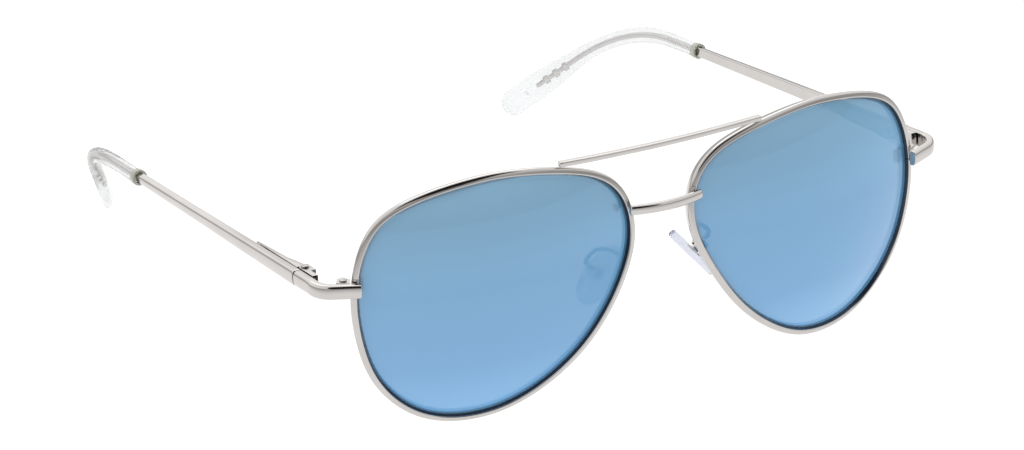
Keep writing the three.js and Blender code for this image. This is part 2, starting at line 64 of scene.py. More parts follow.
# End piece and temple. The seam is where the end piece stops and the temple starts.
SEAM = np.array([71.1, 21.6, 3.5])
INSET, DROP = 2.5 * DEG, 6.3 * DEG
LAP_LENGTH, LAP_ANGLE, LAP_THICKNESS, LAP_HEIGHT = 5.5, 25 * DEG, 1.5, 3.0
END_BEND, END_STRAIGHT, GROWTH_START, GROWTH_FULL = 4.5, 6.8, 4.5, 10.8
BAR_LENGTH, BAR_THICKNESS, BAR_HEIGHT = 78.0, 1.9, 3.2
BAR_END_THICKNESS, BAR_END_HEIGHT = 1.65, 2.0
BAR_LEAN, LEAN_START, LEAN_FULL = 9 * DEG, 23, 50

# Wire inside the tip, the clear tip itself and the collar before it.
CORE_LENGTH, CORE_RADIUS = 57.0, 0.55
BARB_SPACING, BARB_TO_END, BARB_HALF_HEIGHT, BARB_HALF_THICKNESS = 3.1, 3.2, 0.98, 0.42
TIP_LENGTH, TIP_STRAIGHT, TIP_END, HOLLOW_BEYOND_CORE = 66.0, 10, 3.4, 3.4
BEND_R, BEND_ANGLE, LEAN = 42.0, 43.7 * DEG, 34 * DEG
NECK_RADIUS, NECK_GROWTH = 1.45, 0.25
PADDLE_START, PADDLE_FULL, PADDLE_HALF_HEIGHT, PADDLE_HALF_THICKNESS = 34, 57, 3.0, 1.2
COLLAR_HALF, COLLAR_BORE, COLLAR_RADIUS = 0.8, 1.25, 1.7

# Nose pads and the wires that hold them.
PAD_CENTRE = np.array([10.7, 7.5, -4.1])
PAD_CANT, PAD_SPLAY = 42 * DEG, 10 * DEG
PAD_HALF_HEIGHT, PAD_HALF_WIDTH, PAD_HALF_THICKNESS = 6.7, 3.75, 0.85
ARM_RADIUS = 0.5


def turn(axis, angle):
    return np.array(Matrix.Rotation(angle, 3, axis))


REST = turn("X", REST_TILT)


def to_row(points):
    """Front frame in millimetres to row frame in metres."""
    moved = np.asarray(points, float) @ REST.T + (0, REST_SHIFT, REST_HEIGHT)
    return moved / 1000


def from_eye(points):
    return np.asarray(points, float) @ turn("Z", WRAP).T + (EYE_X, 0, 0)


def from_hinge(points):
    return np.asarray(points, float) @ (turn("Z", INSET) @ turn("X", -DROP)).T + SEAM


def from_pad(points):
    return np.asarray(points, float) @ (turn("Z", -PAD_SPLAY) @ turn("Y", -PAD_CANT)).T + PAD_CENTRE


# ---- Curves ---------------------------------------------------------------------------------------

def spline(points, closed, samples=60):
    """Dense points on a centripetal spline through these points."""
    p = [np.array(q, float) for q in points]
    n = len(p)
    if closed:
        around = [p[-1]] + p + [p[0], p[1]]
        spans = n
    else:
        around = [2 * p[0] - p[1]] + p + [2 * p[-1] - p[-2]]
        spans = n - 1
    out = []
    for i in range(spans):
        a, b, c, d = around[i:i + 4]
        t0 = 0.0
        t1 = t0 + np.linalg.norm(b - a) ** 0.5
        t2 = t1 + np.linalg.norm(c - b) ** 0.5
        t3 = t2 + np.linalg.norm(d - c) ** 0.5
        for t in np.linspace(t1, t2, samples, endpoint=False):
            ab = (t1 - t) / (t1 - t0) * a + (t - t0) / (t1 - t0) * b
            bc = (t2 - t) / (t2 - t1) * b + (t - t1) / (t2 - t1) * c
            cd = (t3 - t) / (t3 - t2) * c + (t - t2) / (t3 - t2) * d
            abc = (t2 - t) / (t2 - t0) * ab + (t - t0) / (t2 - t0) * bc
            bcd = (t3 - t) / (t3 - t1) * bc + (t - t1) / (t3 - t1) * cd
            out.append((t2 - t) / (t2 - t1) * abc + (t - t1) / (t2 - t1) * bcd)
    out.append(p[0] if closed else p[-1])
    return np.array(out)


def lengths(points):
    return np.concatenate([[0], np.cumsum(np.linalg.norm(np.diff(points, axis=0), axis=1))])


def at_lengths(points, stations):
    """Points at these distances along a dense polyline."""
    s = lengths(points)
    return np.stack([np.interp(stations, s, points[:, k]) for k in range(points.shape[1])], 1)


def frames(points, guide):
    """Tangent, normal and binormal along a path; guide gives the binormal's side of each point."""
    tangent = np.gradient(points, axis=0)
    tangent /= np.linalg.norm(tangent, axis=1)[:, None]
    normal = np.cross(guide, tangent)
    normal /= np.linalg.norm(normal, axis=1)[:, None]
    return tangent, normal, np.cross(tangent, normal)


def arc(cx, cy, radius, start, end, steps):
    angles = np.linspace(start, end, steps + 1) * DEG
    return [(cx + radius * math.cos(a), cy + radius * math.sin(a)) for a in angles]


def rounded_bar(width, height, radius, steps=6):
    x, y = width / 2 - radius, height / 2 - radius
    return np.array(arc(x, -y, radius, -90, 0, steps) + arc(x, y, radius, 0, 90, steps)
                    + arc(-x, y, radius, 90, 180, steps) + arc(-x, -y, radius, 180, 270, steps))


def soft_bar(width, height, radius, crown, back_radius=None):
    """A rounded bar with a domed outer face (x > 0); without back_radius the other face is the same."""
    steps = 8
    ring = rounded_bar(width, height, radius, steps)
    if back_radius:
        half = len(ring) // 2
        ring[half:] = rounded_bar(width, height, back_radius, steps)[half:]
    ring = np.concatenate([ring, ring[:1]])
    dense = at_lengths(ring, np.linspace(0, lengths(ring)[-1], 73)[:-1])
    share = np.clip(np.abs(dense[:, 1]) / (height / 2), 0, 1)
    domed = (dense[:, 0] > 0) | (back_radius is None)
    dense[:, 0] *= np.where(domed, 1 - crown * share ** 2, 1)
    return dense


def circle(radius, steps=20):
    angles = np.arange(steps) * 2 * math.pi / steps
    return np.stack([radius * np.cos(angles), radius * np.sin(angles)], 1)


# ---- Meshes ---------------------------------------------------------------------------------------

def piece(name, verts, faces, body, nodes, material, side=1, smooth_angle=38, slot="metal"):
    """A closed mesh in the front frame becomes a piece that rides on a body and replaces CAD nodes."""
    verts = np.array(verts, float)
    verts[:, 0] *= side
    mesh = bpy.data.meshes.new(name)
    mesh.from_pydata([tuple(v) for v in to_row(verts)], [], faces)
    bm = bmesh.new()
    bm.from_mesh(mesh)
    bmesh.ops.remove_doubles(bm, verts=bm.verts, dist=1e-7)
    bmesh.ops.recalc_face_normals(bm, faces=bm.faces)
    bm.to_mesh(mesh)
    bm.free()
    return finish_piece(name, mesh, body, nodes, material, smooth_angle)


def finish_piece(name, mesh, body, nodes, material, smooth_angle):
    """Shading, materials and body of a piece, and the CAD nodes that it stands for."""
    mesh.polygons.foreach_set("use_smooth", [True] * len(mesh.polygons))
    mesh.set_sharp_from_angle(angle=smooth_angle * DEG)
    for m in material if isinstance(material, (list, tuple)) else [material]:
        mesh.materials.append(m)
    obj = bpy.data.objects.new(name, mesh)
    bpy.context.scene.collection.objects.link(obj)
    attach(obj, body)
    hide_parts(*nodes)
    return obj


def tube(rings, closed=False):
    """Vertices and faces of a skin over rings that all have the same number of points."""
    rings = np.asarray(rings)
    count, sides = rings.shape[:2]
    verts = rings.reshape(-1, 3)
    faces = []
    for i in range(count if closed else count - 1):
        j = (i + 1) % count
        for k in range(sides):
            m = (k + 1) % sides
            faces.append((i * sides + k, i * sides + m, j * sides + m, j * sides + k))
    if not closed:
        faces.append(tuple(range(sides)))
        faces.append(tuple((count - 1) * sides + k for k in range(sides)))
    return verts, faces


def both(*skins):
    """Several skins as one set of vertices and faces."""
    verts, faces = [], []
    for v, f in skins:
        start = sum(len(x) for x in verts)
        verts.append(np.asarray(v))
        faces += [tuple(i + start for i in face) for face in f]
    return np.concatenate(verts), faces


def end_rounding(stations, length, radius):
    """How far the section shrinks at each station so that both ends of a bar are rounded."""
    near = np.minimum(stations, length - stations)
    near = np.clip(near, 0, radius)
    return radius - np.sqrt(np.maximum(radius ** 2 - (radius - near) ** 2, 0))


def swept(path, section, guide, radius, count, scale=None):
    """Rings of a section along a path. radius rounds the ends; scale(s) gives x and y factors."""
    total = lengths(path)[-1]
    curved = radius * (1 - np.cos(np.linspace(0, math.pi / 2, 7)))
    middle = np.linspace(radius, total - radius, count)
    stations = np.unique(np.round(np.concatenate([curved, middle, total - curved]), 6))
    points = at_lengths(path, stations)
    # The tangents come from the even path, so that close stations at the ends don't disturb them.
    even = np.linspace(0, total, 400)
    tangent, _, _ = frames(at_lengths(path, even), np.tile([0, 0, 1.0], (400, 1)))
    tangent = np.stack([np.interp(stations, even, tangent[:, k]) for k in range(3)], 1)
    tangent /= np.linalg.norm(tangent, axis=1)[:, None]
    normal = np.cross(np.tile(np.array(guide, float), (len(points), 1)), tangent)
    normal /= np.linalg.norm(normal, axis=1)[:, None]
    binormal = np.cross(tangent, normal)
    shrink = end_rounding(stations, total, radius)
    half = np.abs(section).max(0)
    rings = []
    for i, s in enumerate(stations):
        factor = np.array(scale(s), float) if scale else np.ones(2)
        size = factor * (1 - np.minimum(shrink[i] / (half * factor), 0.999))
        ring = section * size
        rings.append(points[i] + ring[:, :1] * normal[i] + ring[:, 1:] * binormal[i])
    return np.array(rings)


def smooth(s, low, high):
    """0 up to low, 1 from high, with an even turn between them."""
    t = min(max((s - low) / (high - low), 0), 1)
    return t * t * (3 - 2 * t)


# ---- Rim and lens ---------------------------------------------------------------------------------

def on_sphere(x, z):
    """Points on the sphere of the lens's front, which touches the origin from behind."""
    return np.stack([x, LENS_R - np.sqrt(LENS_R ** 2 - x ** 2 - z ** 2), z], 1)


def rim_path(count, opening):
    """Points and section axes along the rim's middle line, less an opening at the closing block."""
    flat = spline(OUTLINE, True)
    total = lengths(flat)[-1]
    at = at_lengths(flat, np.linspace(opening / 2, total - opening / 2, count))
    points = on_sphere(at[:, 0], at[:, 1])
    forward = points - (0, LENS_R, 0)
    forward /= np.linalg.norm(forward, axis=1)[:, None]
    _, normal, binormal = frames(points, forward)
    return points, normal, binormal


def rim_section():
    """Section of the wire: x towards the lens, y forwards. The first run of faces is the inner wall."""
    outer, inner, back = 0.62, 0.26, 0.2
    return np.array(
        [(RIM_IN, GROOVE_FRONT)]
        + arc(RIM_IN - inner, RIM_FRONT - inner, inner, 0, 90, 6)
        + arc(-RIM_OUT + outer, RIM_FRONT - outer, outer, 90, 180, 10)
        + arc(-RIM_OUT + outer, RIM_BACK + outer, outer, 180, 270, 8)
        + arc(RIM_IN - back, RIM_BACK + back, back, 270, 360, 4)
        + [(RIM_IN, GROOVE_BACK), (GROOVE_FLOOR, GROOVE_BACK), (GROOVE_FLOOR, GROOVE_FRONT)])


def make_rim(side, name, material, wall):
    """The split wire; its inner wall and groove take a near-black metal that paints in the shade and dark
    reflections inside the rim.
    """
    count, split = 300, 0.2
    points, normal, binormal = rim_path(count, split)
    section = rim_section()
    rings = (points[:, None] + section[None, :, :1] * normal[:, None]
             + section[None, :, 1:] * binormal[:, None])
    verts, faces = tube(rings)
    obj = piece(f"{name}_wire", from_eye(verts), faces, "front", [name], [material, wall], side)
    sides = len(section)
    # Faces of the inner wall and groove, which take the near-black metal as painted shade.
    inside = {0, sides - 4, sides - 3, sides - 2, sides - 1}
    skin = (count - 1) * sides
    index = [1 if i < skin and i % sides in inside else 0 for i in range(len(obj.data.polygons))]
    obj.data.polygons.foreach_set("material_index", index)


def make_lens(side, name, coat, back):
    """A curved lens, mirror-coated in front, with the ridge that sits in the rim's groove."""
    count = 240
    points, normal, binormal = rim_path(count + 1, 0.0)
    points, normal, binormal = points[:-1], normal[:-1], binormal[:-1]
    inset = RIM_IN + 0.06
    edge = points + normal * inset

    def ring(share, depth):
        p = on_sphere(edge[:, 0] * share, edge[:, 2] * share)
        forward = p - (0, LENS_R, 0)
        return p + forward / np.linalg.norm(forward, axis=1)[:, None] * depth

    def outer(beyond, depth):
        return points + normal * (inset - beyond) + binormal * depth

    shares = [0.02] + list(np.linspace(0.08, 0.98, 16)) + [0.998]
    rings = [ring(s, LENS_FRONT) for s in shares]
    coat_rings = len(rings)
    rings += [outer(0, LENS_FRONT - 0.04), outer(0, RIDGE_FRONT), outer(RIDGE_REACH, RIDGE_FRONT),
              outer(RIDGE_REACH, RIDGE_BACK), outer(0, RIDGE_BACK), outer(0, LENS_BACK + 0.12)]
    rings += [ring(s, LENS_BACK) for s in reversed(shares)]
    verts, faces = tube(rings)
    obj = piece(f"{name}_shaped", from_eye(verts), faces, "front", [name], [coat, back], side, 50, "lens")
    faces_front = (coat_rings - 1) * count
    total = len(obj.data.polygons)
    index = [0 if i < faces_front or i == total - 2 else 1 for i in range(total)]
    obj.data.polygons.foreach_set("material_index", index)


# ---- Bars of the front ----------------------------------------------------------------------------

def bowed(half, end_y, height, bow):
    """The middle line of a bar across the nose, bowed forwards."""
    count = 60
    x = np.linspace(-half, half, count)
    return np.stack([x, end_y - bow * (1 - (x / half) ** 2), np.full(count, height)], 1)


def end_piece_path():
    """From the lap over the rim, round the bend and back to the seam."""
    direction = turn("Z", INSET) @ turn("X", -DROP) @ np.array([0, 1.0, 0])
    seam_end = SEAM - direction * 0.15
    bend_end = SEAM - direction * END_STRAIGHT
    heading = math.pi / 2 + INSET

    def bend(angle):
        return np.array([bend_end[0] + END_BEND * (math.sin(angle) - math.sin(heading)),
                         bend_end[1] - END_BEND * (math.cos(angle) - math.cos(heading)), bend_end[2]])

    lap = np.array([math.cos(LAP_ANGLE), math.sin(LAP_ANGLE), 0])
    points = [bend(LAP_ANGLE) - lap * LAP_LENGTH, bend(LAP_ANGLE) - lap * LAP_LENGTH / 2]
    points += [bend(a) for a in np.linspace(LAP_ANGLE, heading, 9)]
    points += [(bend_end + seam_end) / 2, seam_end]
    return spline(points, False)


def growth(s):
    """How much wider and taller the end piece is, s millimetres from its lap over the rim."""
    share = smooth(s, GROWTH_START, GROWTH_FULL)
    return (1 + (BAR_THICKNESS / LAP_THICKNESS - 1) * share,
            1 + (BAR_HEIGHT / LAP_HEIGHT - 1) * share)


# ---- Temple and tip -------------------------------------------------------------------------------

TAIL_ROOT = BAR_LENGTH - 1
TIP_START = BAR_LENGTH + COLLAR_HALF + 0.25 - TAIL_ROOT
BEND_START = TIP_START + TIP_STRAIGHT


def tail_point(s):
    """A point on the tail's middle line: straight, then bent down and leaning in, then straight."""
    bent = min(max((s - BEND_START) / BEND_R, 0), BEND_ANGLE)
    after = max(0, s - BEND_START - BEND_R * BEND_ANGLE)
    back = TAIL_ROOT + min(s, BEND_START) + BEND_R * math.sin(bent) + after * math.cos(bent)
    down = BEND_R * (1 - math.cos(bent)) + after * math.sin(bent)
    return np.array([-down * math.sin(LEAN), back, -down * math.cos(LEAN)])


def tail(stations):
    """Points and frames of the tail's middle line, in the temple's frame."""
    points = np.array([tail_point(s) for s in stations])
    ahead = np.array([tail_point(s + 0.05) for s in stations])
    behind = np.array([tail_point(max(s - 0.05, -5)) for s in stations])
    tangent = (ahead - behind) / np.linalg.norm(ahead - behind, axis=1)[:, None]
    normal = np.cross(np.tile([0, 0, 1.0], (len(points), 1)), tangent)
    normal /= np.linalg.norm(normal, axis=1)[:, None]
    return points, -normal, np.cross(tangent, normal)


def tail_rings(stations, half_x, half_z, sides, power=1.0):
    """Oval rings along the tail; a power below 1 makes them squarer."""
    points, across, up = tail(stations)
    angles = np.arange(sides) * 2 * math.pi / sides
    c, s = np.cos(angles), np.sin(angles)
    c, s = np.sign(c) * np.abs(c) ** power, np.sign(s) * np.abs(s) ** power
    return np.array([points[i] + np.outer(c * half_x[i], across[i]) + np.outer(s * half_z[i], up[i])
                     for i in range(len(stations))])


def core_profile():
    """Stations and half sizes of the wire inside the tip: plain, then coined at three barbs."""
    end = CORE_LENGTH
    first = CORE_LENGTH - BARB_TO_END - 2 * BARB_SPACING
    barbs = (first, first + BARB_SPACING, first + 2 * BARB_SPACING)
    stations = list(np.linspace(0, first - 1.2, 60))
    for at in barbs:
        stations += [at - 0.62, at - 0.55, at - 0.4, at, at + 0.4, at + 0.55, at + 0.62]
    stations += [end - 0.6, end - 0.25, end - 0.08, end]
    stations = np.array(sorted(stations))
    half_x = np.full(len(stations), CORE_RADIUS)
    half_z = np.full(len(stations), CORE_RADIUS)
    for i, s in enumerate(stations):
        if min(abs(s - at) for at in barbs) <= 0.56:
            half_z[i] = BARB_HALF_HEIGHT
            half_x[i] = BARB_HALF_THICKNESS
    for shift, scale in ((1, 0.25), (2, 0.75), (3, 0.95)):
        half_x[-shift] *= scale
        half_z[-shift] *= scale
    return stations, half_x, half_z


def make_temple(side, name, body, material):
    """The tapering bar and the thin wire that goes on inside the tip."""
    rings = []
    middle = list(np.linspace(1, BAR_LENGTH - 0.2, 60))
    for y in [0.1, 0.14, 0.25] + middle + [BAR_LENGTH - 0.06, BAR_LENGTH]:
        along = y / BAR_LENGTH
        ends = 0.1 if y in (0.1, BAR_LENGTH) else 0.03 if y in (0.14, BAR_LENGTH - 0.06) else 0
        w = BAR_THICKNESS - (BAR_THICKNESS - BAR_END_THICKNESS) * along - ends
        h = BAR_HEIGHT - (BAR_HEIGHT - BAR_END_HEIGHT) * along - ends
        ring = soft_bar(w, h, 0.45, 0.32, 0.2)
        ring = np.stack([ring[:, 0], np.full(len(ring), y), ring[:, 1]], 1)
        rings.append(ring @ turn("Y", BAR_LEAN * smooth(y, LEAN_START, LEAN_FULL)).T)
    bar = tube(rings)
    stations, half_x, half_z = core_profile()
    wire = tube(tail_rings(stations, half_x, half_z, 24))
    verts, faces = both(bar, wire)
    piece(f"{name}_bar", from_hinge(verts), faces, body, [name], material, side)


def tip_sizes(s):
    """Half thickness and half height of the clear tip, s millimetres from its neck."""
    widening = smooth(s, PADDLE_START, PADDLE_FULL)
    half_x = NECK_RADIUS + (PADDLE_HALF_THICKNESS - NECK_RADIUS) * widening
    half_z = NECK_RADIUS + NECK_GROWTH * smooth(s, 4, 20)
    half_z += (PADDLE_HALF_HEIGHT - half_z) * widening
    return half_x, half_z


def make_tip(side, name, body, material):
    """The clear tip, solid round the wire, with a small hollow beyond the wire's end."""
    stations, half_x, half_z = [], [], []
    for s in [0, 0.05, 0.15, 0.35] + list(np.linspace(0.8, TIP_LENGTH - TIP_END, 90)):
        x, z = tip_sizes(s)
        edge = 1 - 0.12 * max(0, 1 - s / 0.35) ** 2
        stations.append(s)
        half_x.append(x * edge)
        half_z.append(z * edge)
    for angle in np.linspace(0, math.pi / 2, 14)[1:]:
        s = TIP_LENGTH - TIP_END * (1 - math.sin(angle))
        x, z = tip_sizes(s)
        into_end = max(0, (s - TIP_LENGTH + PADDLE_HALF_THICKNESS) / PADDLE_HALF_THICKNESS)
        round_x = math.sqrt(max(0, 1 - into_end ** 2))
        stations.append(s)
        half_x.append(max(x * round_x, 0.02))
        half_z.append(max(z * math.cos(angle), 0.02))
    stations = np.array(stations) + TIP_START
    skin = tube(tail_rings(stations, np.array(half_x), np.array(half_z), 40, 0.94))
    end = CORE_LENGTH + HOLLOW_BEYOND_CORE
    s = np.array([end - 0.25, end - 0.2, end - 0.08, end + 0.02, end + 0.06])
    hollow_x = np.array([0.02, 0.3, 0.5, 0.5, 0.02])
    hollow_z = np.array([0.02, 0.4, 0.62, 0.6, 0.02])
    hollow = tube(tail_rings(s, hollow_x, hollow_z, 24))
    verts, faces = both(skin, (hollow[0], [f[::-1] for f in hollow[1]]))
    piece(f"{name}_clear", from_hinge(verts), faces, body, [name], material, side, 50, "clear")


def make_collar(side, name, body, material):
    """A turned ring with rounded outer edges."""
    edge, sides = 0.22, 48
    low, high = BAR_LENGTH - COLLAR_HALF, BAR_LENGTH + COLLAR_HALF
    profile = [(COLLAR_BORE, low + 0.05)]
    profile += arc(COLLAR_RADIUS - edge, low + edge, edge, -90, 0, 5)
    profile += arc(COLLAR_RADIUS - edge, high - edge, edge, 0, 90, 5)
    profile += [(COLLAR_BORE, high - 0.05)]
    angles = np.arange(sides) * 2 * math.pi / sides
    rings = [np.stack([r * np.cos(angles), np.full(sides, y), r * np.sin(angles)], 1)
             for r, y in profile]
    verts, faces = tube(rings, closed=True)
    piece(f"{name}_ring", from_hinge(verts), faces, body, [name], material, side, slot="collar")


# ---- Nose pad -------------------------------------------------------------------------------------

def make_pad(side, name, body, material):
    """An egg-shaped pad, wider at its lower end, with a blunt rounded edge."""
    sides = 72
    angles = np.arange(sides) * 2 * math.pi / sides
    y = PAD_HALF_WIDTH * np.sin(angles) * (1 - 0.16 * np.cos(angles))
    z = PAD_HALF_HEIGHT * np.cos(angles)

    def ring(share, x):
        return np.stack([np.full(sides, x), y * share, z * share], 1)

    crown = 0.03
    rings = []
    edge = [(1 - 0.08 * (1 - math.cos(a) ** 0.8), math.sin(a))
            for a in np.linspace(-math.pi / 2, math.pi / 2, 15)[1:-1]]
    for share in (0.02, 0.3, 0.55, 0.75):
        rings.append(ring(share, -PAD_HALF_THICKNESS + crown * share ** 2))
    for share, x in edge:
        rings.append(ring(share, (PAD_HALF_THICKNESS - crown) * x))
    for share in (0.75, 0.55, 0.3, 0.02):
        rings.append(ring(share, PAD_HALF_THICKNESS - crown * share ** 2))
    verts, faces = tube(rings)
    piece(f"{name}_clear", from_pad(verts), faces, body, [name], material, side, 60, "clear")


def make_arm(side, name, material):
    """The bent wire from the back of the rim to the pad's box."""
    points = [(8.8, 3.1, 1.5), (9.9, 4.8, 2.2), (12.0, 6.6, 2.0)]
    points += [tuple(from_pad([[5.3, 0, 0.5]])[0]), tuple(from_pad([[3.65, 0, 0]])[0])]
    path = spline(points, False)
    rings = swept(path, circle(ARM_RADIUS), (-0.6, 0, 1), 0.15, 60)
    verts, faces = tube(rings)
    piece(f"{name}_wire", verts, faces, "front", [name], material, side)


# ---- Small parts ----------------------------------------------------------------------------------

def refined(node, width, material, body):
    """A copy of a small CAD piece with its edges broken."""
    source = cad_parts[node]
    mesh = source.data.copy()
    mesh.materials.clear()
    bm = bmesh.new()
    bm.from_mesh(mesh)
    bmesh.ops.remove_doubles(bm, verts=bm.verts, dist=2e-6)
    bmesh.ops.dissolve_limit(bm, angle_limit=2 * DEG, verts=bm.verts, edges=bm.edges)
    sharp = [e for e in bm.edges if e.is_manifold and e.calc_face_angle(0) > 30 * DEG]
    bmesh.ops.bevel(bm, geom=sharp, offset=width / 1000, segments=3, profile=0.6, affect="EDGES",
                    clamp_overlap=True)
    bmesh.ops.recalc_face_normals(bm, faces=bm.faces)
    bm.to_mesh(mesh)
    bm.free()
    mesh.name = f"{node}_fine"
    finish_piece(mesh.name, mesh, body, [node], material, 32)


# ---- Materials ------------------------------------------------------------------------------------

def new_material(name):
    material = bpy.data.materials.new(name)
    material.use_nodes = True
    tree = material.node_tree
    shader = tree.nodes["Principled BSDF"]
    return material, tree, shader


def noise(tree, scale, detail, stretch=(1, 1, 1)):
    coordinate = tree.nodes.new("ShaderNodeTexCoord")
    mapping = tree.nodes.new("ShaderNodeMapping")
    mapping.inputs["Scale"].default_value = stretch
    texture = tree.nodes.new("ShaderNodeTexNoise")
    texture.inputs["Scale"].default_value = scale
    texture.inputs["Detail"].default_value = detail
    tree.links.new(coordinate.outputs["Object"], mapping.inputs["Vector"])
    tree.links.new(mapping.outputs["Vector"], texture.inputs["Vector"])
    return texture


def ramp(tree, source, stops):
    node = tree.nodes.new("ShaderNodeValToRGB")
    elements = node.color_ramp.elements
    while len(elements) < len(stops):
        elements.new(0.5)
    for element, (at, colour) in zip(elements, stops):
        element.position = at
        element.color = (*colour, 1)
    tree.links.new(source, node.inputs["Fac"])
    return node


def bump(tree, shader, source, strength, distance):
    node = tree.nodes.new("ShaderNodeBump")
    node.inputs["Strength"].default_value = strength
    node.inputs["Distance"].default_value = distance
    tree.links.new(source, node.inputs["Height"])
    tree.links.new(node.outputs["Normal"], shader.inputs["Normal"])


def polished_metal(name, colour, rough, scratch=0.02):
    """Bright plating: a slightly uneven colour, a fine polish and faint buffing marks."""
    material, tree, shader = new_material(name)
    shader.inputs["Metallic"].default_value = 1.0
    tint = noise(tree, 140, 2)
    low = tuple(0.955 * c for c in colour)
    colours = ramp(tree, tint.outputs["Fac"], [(0.35, low), (0.65, colour)])
    tree.links.new(colours.outputs["Color"], shader.inputs["Base Color"])
    marks = noise(tree, 900, 4, (1, 0.25, 1))
    roughs = ramp(tree, marks.outputs["Fac"], [(0.3, (rough * 0.7,) * 3), (0.75, (rough * 1.6,) * 3)])
    tree.links.new(roughs.outputs["Color"], shader.inputs["Roughness"])
    bump(tree, shader, marks.outputs["Fac"], scratch, 0.00005)
    return material


def mirror_coat(name):
    """Blue mirror coating on the front of the lens, with a painted reflection: paler towards its lower and
    upper edges, for the bright floor and studio mirrored there.
    """
    material, tree, shader = new_material(name)
    coordinate = tree.nodes.new("ShaderNodeTexCoord")
    parts = tree.nodes.new("ShaderNodeSeparateXYZ")
    tree.links.new(coordinate.outputs["Object"], parts.inputs["Vector"])
    painted_reflection_height = tree.nodes.new("ShaderNodeMapRange")
    painted_reflection_height.inputs["From Min"].default_value = 0.0
    painted_reflection_height.inputs["From Max"].default_value = 0.053
    tree.links.new(parts.outputs["Z"], painted_reflection_height.inputs["Value"])
    drift = noise(tree, 22, 1)
    mixed = tree.nodes.new("ShaderNodeMath")
    mixed.operation = "MULTIPLY_ADD"
    mixed.inputs[1].default_value = 0.10
    tree.links.new(drift.outputs["Fac"], mixed.inputs[0])
    tree.links.new(painted_reflection_height.outputs["Result"], mixed.inputs[2])
    # Painted reflection: the blue turns paler with height near the bottom and near the top of the lens.
    colours = ramp(tree, mixed.outputs["Value"], [
        (0.05, (0.220, 0.530, 0.910)), (0.30, (0.150, 0.410, 0.740)),
        (0.62, (0.145, 0.405, 0.705)), (1.0, (0.235, 0.570, 0.870))])
    tree.links.new(colours.outputs["Color"], shader.inputs["Base Color"])
    shader.inputs["Metallic"].default_value = 0.28
    smudge = noise(tree, 160, 5)
    roughs = ramp(tree, smudge.outputs["Fac"], [(0.4, (0.035,) * 3), (0.8, (0.07,) * 3)])
    tree.links.new(roughs.outputs["Color"], shader.inputs["Roughness"])
    shader.inputs["Alpha"].default_value = 0.86
    bump(tree, shader, drift.outputs["Fac"], 0.02, 0.0001)
    return material


def lens_body(name):
    """The tinted plastic of the lens, seen at its edge and from behind."""
    material, tree, shader = new_material(name)
    tint = noise(tree, 60, 2)
    colours = ramp(tree, tint.outputs["Fac"], [(0.3, (0.050, 0.070, 0.085)), (0.7, (0.065, 0.088, 0.105))])
    tree.links.new(colours.outputs["Color"], shader.inputs["Base Color"])
    roughs = ramp(tree, tint.outputs["Fac"], [(0.3, (0.03,) * 3), (0.8, (0.06,) * 3)])
    tree.links.new(roughs.outputs["Color"], shader.inputs["Roughness"])
    shader.inputs["IOR"].default_value = 1.58
    shader.inputs["Alpha"].default_value = 0.42
    return material


def clear_plastic(name, middle, rim, rough, ior, clarity):
    """Clear moulded plastic with painted shade: greyer where it is seen edge on, standing in for the dark
    outline that refraction gives, with a slight ripple in its surface.
    """
    material, tree, shader = new_material(name)
    ripple = noise(tree, 420, 3)
    facing = tree.nodes.new("ShaderNodeLayerWeight")
    facing.inputs["Blend"].default_value = 0.42
    uneven = tree.nodes.new("ShaderNodeMath")
    uneven.operation = "MULTIPLY_ADD"
    uneven.inputs[1].default_value = 0.10
    tree.links.new(ripple.outputs["Fac"], uneven.inputs[0])
    tree.links.new(facing.outputs["Facing"], uneven.inputs[2])
    # Painted shade: the colour turns from the middle tint to the darker edge colour as the surface turns
    # edge on.
    colours = ramp(tree, uneven.outputs["Value"], [(0.35, middle), (0.85, rim)])
    tree.links.new(colours.outputs["Color"], shader.inputs["Base Color"])
    roughs = ramp(tree, ripple.outputs["Fac"], [(0.3, (rough * 0.6,) * 3), (0.8, (rough * 1.5,) * 3)])
    tree.links.new(roughs.outputs["Color"], shader.inputs["Roughness"])
    shader.inputs["Transmission Weight"].default_value = clarity
    shader.inputs["IOR"].default_value = ior
    bump(tree, shader, ripple.outputs["Fac"], 0.015, 0.0001)
    return material


def collar_plastic(name):
    """Milky, slightly green plastic."""
    material, tree, shader = new_material(name)
    tint = noise(tree, 300, 3)
    colours = ramp(tree, tint.outputs["Fac"], [(0.3, (0.52, 0.52, 0.44)), (0.7, (0.66, 0.66, 0.58))])
    tree.links.new(colours.outputs["Color"], shader.inputs["Base Color"])
    roughs = ramp(tree, tint.outputs["Fac"], [(0.3, (0.15,) * 3), (0.8, (0.25,) * 3)])
    tree.links.new(roughs.outputs["Color"], shader.inputs["Roughness"])
    shader.inputs["Transmission Weight"].default_value = 0.25
    shader.inputs["IOR"].default_value = 1.3
    bump(tree, shader, tint.outputs["Fac"], 0.05, 0.0001)
    return material


plating = polished_metal("silver_plating", (0.585, 0.560, 0.540), 0.08)
bright = polished_metal("polished_screw", (0.62, 0.60, 0.58), 0.12, 0.03)
# Painted shade: near-black metal for the rim's inner wall and groove, standing in for the shade and dark
# reflections inside the rim.
wall = polished_metal("rim_inner_wall_painted_shade", (0.075, 0.085, 0.10), 0.25, 0.05)
coat = mirror_coat("blue_mirror_coat_painted_reflection")
lens_back = lens_body("lens_plastic")
# Each clear plastic's first colour is its own tint; the second is painted edge shade.
tip_clear = clear_plastic("clear_tip", (0.925, 0.935, 0.94), (0.84, 0.85, 0.84), 0.07, 1.09, 0.74)
pad_clear = clear_plastic("clear_pad", (0.84, 0.86, 0.94), (0.58, 0.60, 0.70), 0.10, 1.13, 0.78)
collar_material = collar_plastic("collar_plastic")

# ---- The object -----------------------------------------------------------------------------------

